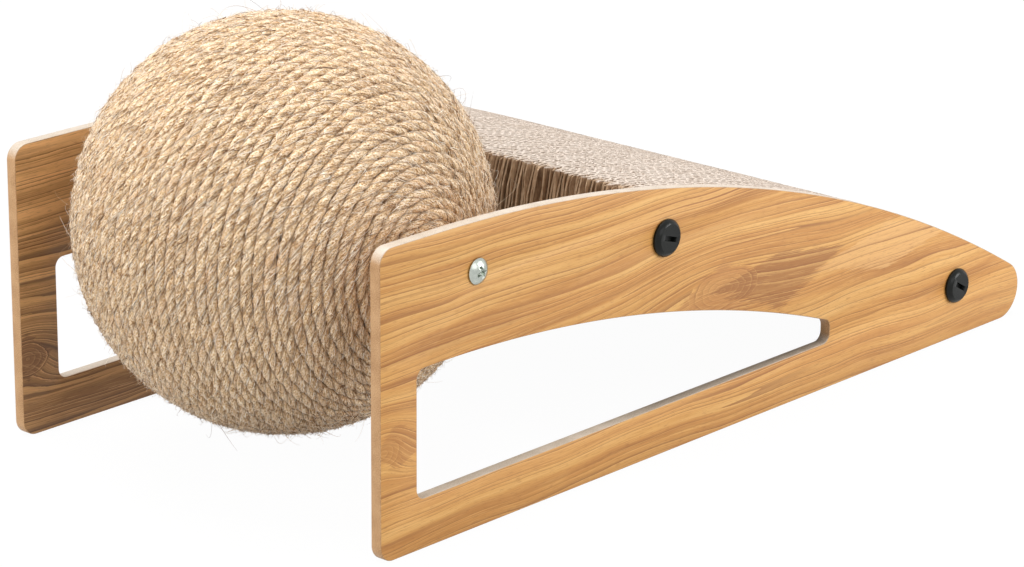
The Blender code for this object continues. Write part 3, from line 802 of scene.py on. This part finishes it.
def lying_fibres(name, rope, skin, seed, jute):
    """Loose fibres that lie along the strands and now and then across them."""
    rng = np.random.default_rng(seed)
    at = rng.integers(0, len(rope.run) - 8, LYING_FIBRES * 3)
    side = rng.integers(0, skin.facing.shape[1], LYING_FIBRES * 3)
    # Those on the outside of the rope
    seen = np.flatnonzero(np.cos(skin.facing[at, side]) > 0.1)[:LYING_FIBRES]
    at, side = at[seen], side[seen]
    count = len(at)
    stride = rng.integers(1, 4, count)
    share = np.linspace(0, 1, 3)[:, None]
    rings = at[:, None] + stride[:, None] * np.arange(3)
    line = skin.points[rings, side[:, None]]
    lift = rng.uniform(0.1, 0.65, (count, 1, 1)) * MM
    # Six in ten lie across the strand
    swerve = rng.normal(0, 1, (count, 1, 1)) * np.where(rng.random((count, 1, 1)) < 0.6, 2.6, 0.7) * MM
    line = line + rope.outward[at][:, None] * (0.06 * MM + lift * np.sin(pi * share) ** 0.5)
    line = line + rope.across[at][:, None] * swerve * (share - 0.5)
    fibres(name, line, rope.outward[at], rng.uniform(0.08, 0.19, count) * MM, rng, jute)


def standing_fibres(name, rope, count, steps, length_range, lift_range, seed, jute):
    """Fibres that stand out of the rope: a short fuzz, or a few long curled hairs."""
    rng = np.random.default_rng(seed)
    at = rng.integers(0, len(rope.run), count)
    tilt = rng.uniform(-1.2, 1.2, count)
    ahead = rope.forward[at] * rng.choice([-1, 1], count)[:, None]
    out = rope.outward[at] * np.cos(tilt)[:, None] + rope.across[at] * np.sin(tilt)[:, None]
    aside = np.cross(ahead, out)
    root = rope.middle[at] + out * (2.1 * MM)
    one_each = (count, 1, 1)
    length = rng.uniform(*length_range, one_each) * MM
    lift = rng.uniform(*lift_range, one_each) * MM
    swerve = rng.normal(0, 0.45, one_each) * length
    curl = rng.normal(0, 0.25, one_each) * length
    share = np.linspace(0, 1, steps)[:, None]
    line = root[:, None] + ahead[:, None] * length * share * (1 - 0.25 * share)
    arch = np.sin(share * rng.uniform(1.4, 2.8, one_each))
    line = line + out[:, None] * lift * arch
    line = line + aside[:, None] * (swerve * share + curl * np.sin(3 * share))
    fibres(name, line, out, rng.uniform(0.06, 0.1, count) * MM, rng, jute)


def leaning(points):
    """Side-view points as distance across the flutes and height along them."""
    x, z = np.asarray(points).T
    return x * cos(FLUTE_LEAN) - z * sin(FLUTE_LEAN), x * sin(FLUTE_LEAN) + z * cos(FLUTE_LEAN)


def upright(across, height):
    """X and Z of a point across and along the flutes."""
    return (
        FRONT_EDGE + across * cos(FLUTE_LEAN) + height * sin(FLUTE_LEAN),
        -across * sin(FLUTE_LEAN) + height * cos(FLUTE_LEAN),
    )


def pad_limits():
    """The pad's side view, cut into the chain that ends the flutes above and the one that ends them below."""
    top = TOP_RADIUS - PAD_TOP_DROP
    under = TOP_RADIUS - PAD_DEPTH
    nose = NOSE_RADIUS - PAD_TOP_DROP
    front = pi / 2 - asin((PAD_FRONT - TOP_CENTRE[0]) / top)
    floor = asin((PAD_FLOOR_CLEARANCE - TOP_CENTRE[1]) / under)
    nose_end = -asin((NOSE_RADIUS - PAD_FLOOR_CLEARANCE) / nose)
    rim = arc((NOSE_AT, NOSE_RADIUS), nose, NOSE_ANGLE, nose_end, radians(3))
    upper = arc(TOP_CENTRE, top, front, NOSE_ANGLE, ARC_STEP) + rim
    lower = [upper[0]] + arc(TOP_CENTRE, under, front, floor, ARC_STEP) + rim[::-1]
    chains = []
    for chain in (upper, lower):
        across, height = leaning(chain)
        rising = np.maximum.accumulate(across) == across
        chains.append((across[rising], height[rising]))
    return chains


def cut_spans(across, top, bottom):
    """Splits a sheet where a bar's bore crosses it. Gives runs of columns with their tops and bottoms."""
    start = 0
    for at in BARS_AT.values():
        (middle,), (height,) = leaning([bar_place(at)])
        held = np.flatnonzero(np.abs(across - middle) < BAR_RADIUS)
        first, last = held[0], held[-1]
        half = np.sqrt(np.maximum(BAR_RADIUS**2 - (across - middle) ** 2, 0))
        yield slice(start, first + 1), top, bottom
        yield slice(first, last + 1), top, np.minimum(height + half, top)
        yield slice(first, last + 1), height - half, bottom
        start = last
    yield slice(start, len(across)), top, bottom


class Walls:
    """Gathers upright paper walls, each a closed strip, into one mesh."""

    def __init__(self):
        self.points, self.faces, self.cut = [], [], []
        self.count = 0

    def add(self, across, y, half_paper, top, bottom):
        """A wall along a line of columns. Its paper is as thick as given, square to the line."""
        keep = top - bottom > LOWEST_WALL
        across, y, top, bottom = across[keep], y[keep], top[keep], bottom[keep]
        if len(across) < 2:
            return
        run = np.gradient(np.stack([across, y], 1), axis=0)
        run = run / np.linalg.norm(run, axis=1, keepdims=True) * half_paper
        rings = []
        for sign, height in ((1, top), (-1, top), (-1, bottom), (1, bottom)):
            x, z = upright(across - sign * run[:, 1], height)
            rings.append(np.stack([x, y + sign * run[:, 0], z], 1))
        points = np.stack(rings, 1)
        columns = len(across)
        base = self.count + 4 * np.arange(columns - 1)[:, None]
        corner, following = np.arange(4), np.array([1, 2, 3, 0])
        faces = np.stack([base + corner, base + 4 + corner, base + 4 + following, base + following], -1)
        self.points.append(points.reshape(-1, 3))
        self.faces.extend(faces.reshape(-1, 4).tolist())
        self.cut.extend([1, 0, 1, 0] * (columns - 1))
        last = self.count + 4 * (columns - 1)
        self.faces.append([self.count + i for i in (0, 1, 2, 3)])
        self.faces.append([last + i for i in (3, 2, 1, 0)])
        self.cut.extend([1, 1])
        self.count += 4 * columns

    def piece(self, name, materials):
        mesh = bpy.data.meshes.new(name)
        mesh.from_pydata(np.concatenate(self.points).tolist(), [], self.faces)
        made = new_object(name, mesh, materials)
        mesh.polygons.foreach_set("material_index", self.cut)
        return made


def cardboard_pad(wall_paper, cut_paper):
    """Corrugated strips glued face to face on edge: flat liners with a wavy sheet between each pair."""
    rng = np.random.default_rng(74)
    (upper_at, upper), (lower_at, lower) = pad_limits()
    pitch = 2 * PAD_HALF_WIDTH / SHEETS
    first, last = upper_at[0], upper_at[-1]
    flutes, liners = Walls(), Walls()
    amplitude = (pitch - LINER_PAPER - FLUTE_PAPER) / 2 - 0.03 * MM

    def columns(step, shift):
        """Columns of one sheet, with its torn front end and its slightly uneven top."""
        across = np.append(np.arange(first + shift, last - step / 2, step), last - 0.2 * MM)
        frayed = np.exp(-(across - across[0]) / FRAY_DEPTH)
        worn = TOP_WEAR[0] + wander(across - across[0], *TOP_WEAR, rng) - PAD_TOP_DROP - PAD_TOP_PROUD
        top = np.interp(across, upper_at, upper) - worn - frayed * FRAY_SAG * rng.random()
        bottom = np.interp(across - shift * frayed, lower_at, lower)
        return across, top, bottom + frayed * FRAY_RISE * rng.uniform(-1, 1, len(across))

    for sheet in range(SHEETS + 1):
        liner_y = -PAD_HALF_WIDTH + sheet * pitch
        liner_y = min(max(liner_y, -PAD_HALF_WIDTH + LINER_PAPER / 2), PAD_HALF_WIDTH - LINER_PAPER / 2)
        across, top, bottom = columns(2.5 * MM, rng.normal(0, FRAY_SHIFT))
        y = liner_y + wander(across - across[0], *LINER_DRIFT, rng) * (0 < sheet < SHEETS)
        for span, high, low in cut_spans(across, top, bottom):
            liners.add(across[span], y[span], LINER_PAPER / 2, high[span], low[span])
        if sheet == SHEETS:
            break
        across, top, bottom = columns(FLUTE_LENGTH / 6, rng.normal(0, FRAY_SHIFT))
        length = FLUTE_LENGTH * (1 + wander(across - across[0], *FLUTE_DRIFT, rng))
        phase = 2 * pi * np.cumsum(np.diff(across, prepend=across[0]) / length) + rng.uniform(0, 2 * pi)
        y = liner_y + pitch / 2 + amplitude * np.sin(phase)
        torn = rng.random(len(across)) < TORN_SHARE
        top = top - torn * rng.uniform(*TORN_DEPTH, len(across))
        for span, high, low in cut_spans(across, top, bottom):
            flutes.add(across[span], y[span], FLUTE_PAPER / 2, high[span], low[span])
    for name, walls in (("cardboard_pad_flutes", flutes), ("cardboard_pad_liners", liners)):
        piece = walls.piece(name, [wall_paper, cut_paper])
        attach(piece, "frame")
        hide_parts("cardboard_pad")


def turned(name, profile, place, side, material, cuts):
    """A turned piece about Y, with slots cut in its face. Heights run outwards from its place.

    Each cut is its length, width, depth, how far its foot tapers in, its height and its angle.
    """
    mesh = bpy.data.meshes.new(name)
    edges = [(i, i + 1) for i in range(len(profile) - 1)]
    mesh.from_pydata([(radius, 0, height) for radius, height in profile], edges, [])
    piece = new_object(name, mesh, [material])
    stand = Matrix.Translation((FRONT_EDGE + place[0], side * HALF_WIDTH, place[1]))
    piece.matrix_world = stand @ Matrix.Rotation(-side * pi / 2, 4, "X")
    screw = piece.modifiers.new("turn", "SCREW")
    screw.steps = 64
    screw.use_merge_vertices = True
    screw.merge_threshold = 0.01 * MM
    cutters = []
    for length, width, depth, foot, height, angle in cuts:
        shape = bmesh.new()
        bmesh.ops.create_cube(shape, size=1)
        for vert in shape.verts:
            taper = foot if vert.co.z < 0 else 2 - foot
            vert.co = (vert.co.x * length * taper, vert.co.y * width, height + 2 * vert.co.z * depth)
        bmesh.ops.rotate(shape, matrix=Matrix.Rotation(radians(angle), 3, "Z"), verts=shape.verts)
        cutter_mesh = bpy.data.meshes.new("cutter")
        shape.to_mesh(cutter_mesh)
        shape.free()
        cutter = new_object("cutter", cutter_mesh)
        cutter.matrix_world = piece.matrix_world
        cut = piece.modifiers.new("cut", "BOOLEAN")
        cut.operation = "DIFFERENCE"
        cut.object = cutter
        cutters.append(cutter)
    bevel = piece.modifiers.new("soft_edges", "BEVEL")
    bevel.width = 0.2 * MM
    bevel.segments = 2
    bevel.limit_method = "ANGLE"
    bevel.angle_limit = radians(40)
    bpy.context.view_layer.update()
    shaped = shaped_mesh(piece)
    piece.modifiers.clear()
    piece.data = shaped
    for cutter in cutters:
        bpy.data.objects.remove(cutter)
    shaped.shade_smooth()
    shaped.set_sharp_from_angle(angle=radians(24))
    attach(piece, "frame")
    return piece


def shank(length):
    """A screw's shank from under its head to its chamfered end, as turned points."""
    end = (SCREW_RADIUS, SHANK_CHAMFER - length)
    return [(SCREW_RADIUS, SCREW_CLEARANCE), end, (SCREW_RADIUS - SHANK_CHAMFER, -length), (0, -length)]


def slotted_caps(plastic):
    face = SCREW_CLEARANCE + CAP_HEIGHT
    low, high = CAP_FLANK_TILT, pi / 2 - CAP_FLANK_TILT
    bulge = (CAP_RADIUS - CAP_FACE_RADIUS) / (cos(low) - cos(high))
    centre = (CAP_RADIUS - bulge * cos(low), face - bulge * sin(high))
    flank = arc(centre, bulge, high, low, radians(8))
    profile = [(0, face)] + flank + [(CAP_RADIUS, SCREW_CLEARANCE)] + shank(CAP_SHANK)
    for end, along in BARS_AT.items():
        for name, side in SIDES.items():
            cuts = [(*SLOT_SIZE, 0.9, face, SLOT_TURNS[f"{end}_{name}"])]
            node = f"cap_screw_{end}_{name}"
            piece = turned(f"{node}_slotted", profile, bar_place(along), side, plastic, cuts)
            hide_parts(node)


def axle_bolts(steel):
    rise = BOLT_HEAD_HEIGHT - BOLT_HEAD_RIM
    sphere = (BOLT_HEAD_RADIUS**2 + rise**2) / (2 * rise)
    spread = asin(BOLT_HEAD_RADIUS / sphere)
    face = SCREW_CLEARANCE + BOLT_HEAD_HEIGHT
    dome = arc((0, face - sphere), sphere, pi / 2, pi / 2 - spread, spread / 14)
    dome[0] = (0, face)
    profile = dome + [(BOLT_HEAD_RADIUS, SCREW_CLEARANCE)] + shank(BOLT_SHANK)
    cuts = [(*RECESS_SIZE, 0.35, face, RECESS_TURN + turn) for turn in (0, 90)]
    for name, side in SIDES.items():
        node = f"axle_bolt_{name}"
        piece = turned(f"{node}_domed", profile, AXLE, side, steel, cuts)
        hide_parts(node)


# Figure of the print on each panel: its knots, eyes and flames, in millimetres from the front edge
# and the floor
LEFT_FIGURE = (
    ((238, 78, 66, 26, 16), (380, 62, 80, 26, 8), (2, 57, 20, 15, 12)),
    ((243, 73, 27, 11.5), (2, 53, 13, 8)),
    (
        (243, 72, 36, 17, 1, 0.55),
        (288, 74, 54, 22, 2.6, 0.72),
        (378, 66, 62, 13, 1, 0.6),
        (12, 54, 20, 11, 1, 0.6),
    ),
)
RIGHT_FIGURE = (
    ((236, 65, 66, 26, 16), (378, 50, 80, 26, 8), (4, 44, 24, 16, 14)),
    ((240, 60, 27, 11.5), (4, 40, 14, 9)),
    (
        (240, 59, 36, 17, 1, 0.5),
        (286, 61, 54, 20, 2.6, 0.7),
        (376, 54, 62, 13, 1, 0.55),
        (4, 41, 16, 13, 1, 0.7),
    ),
)

camera_as_in_the_photograph()
white_room()
white_floor()
for lamp in LAMPS:
    soft_lamp(*lamp)

edge = fibreboard_edge()
for (name, side), figure, shade in zip(SIDES.items(), (LEFT_FIGURE, RIGHT_FIGURE), (0.3, 1.7)):
    outer = oak_print(f"printed_oak_foil_{name}_outer", *figure, shade, *OUTER_FOIL)
    # The inner faces get the darker copy of the print, painted shade
    inner = oak_print(f"printed_oak_foil_{name}_inner", *figure, shade, *SHADED_INNER_FOIL)
    side_panel(f"side_panel_{name}", side, outer, inner, edge)
rope = rope_path(np.random.default_rng(53))
skin = rope_surface(rope, np.random.default_rng(54))
rope_winding(rope, skin, jute_yarn())
straw = loose_jute()
for number in (1, 2, 3):
    lying_fibres(f"rope_lying_fibres_{number}", rope, skin, number, straw)
standing_fibres("rope_fuzz", rope, 9500, 4, (2, 6), (0.8, 2.7), 7, straw)
standing_fibres("rope_stray_hairs", rope, 700, 9, (8, 19), (1.2, 4.1), 8, straw)
# Their deep browns are partly darkened as painted shade in the flute holes and on the pad's front ends
wall_paper = kraft_paper("brown_kraft_paper", ("#7E6148", "#AA8D6E"), ("#BEAD9E", "#CFC1B4"), 0.8)
cut_paper = kraft_paper("cut_kraft_edge", ("#92765B", "#BDA387"), ("#C3B4A6", "#D2C6BB"), 0.9)
cardboard_pad(wall_paper, cut_paper)
slotted_caps(moulded_plastic("black_moulded_nylon", ("#070907", "#10130F"), 0.24, 0.25, shine=0.24))
axle_bolts(bare_metal("bright_zinc_plate", ("#9BA29B", "#CDD2C9"), 0.22, 0.4))

# The solids whose shape stays get their finish here
bar_wood = turned_beech()
insert_brass = bare_metal("turned_brass", ("#B8903C", "#D0AC58"), 0.3, 0.3)
rod_steel = bare_metal("zinc_plated_rod", ("#B4BABD", "#CBD0D2"), 0.3, 0.5)
core_plastic = moulded_plastic("grey_moulded_polypropylene", ("#85888B", "#94979A"), 0.5, 0.5)
bush_plastic = moulded_plastic("white_moulded_nylon", ("#DEDCD5", "#E9E7E1"), 0.45, 0.3)
SOLID_FINISHES = {
    "cross_bar": (bar_wood, "beech"),
    "bar_insert": (insert_brass, "brass"),
    "axle_rod": (rod_steel, "zinc_plated_steel"),
    "ball_core": (core_plastic, "grey_plastic"),
    "hub_bush": (bush_plastic, "white_nylon"),
    "spacer_sleeve": (bush_plastic, "white_nylon"),
}
for name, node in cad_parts.items():
    for start, (material, finish) in SOLID_FINISHES.items():
        if name.startswith(start):
            node.data.materials.clear()
            node.data.materials.append(material)

scene.view_settings.view_transform = "Standard"
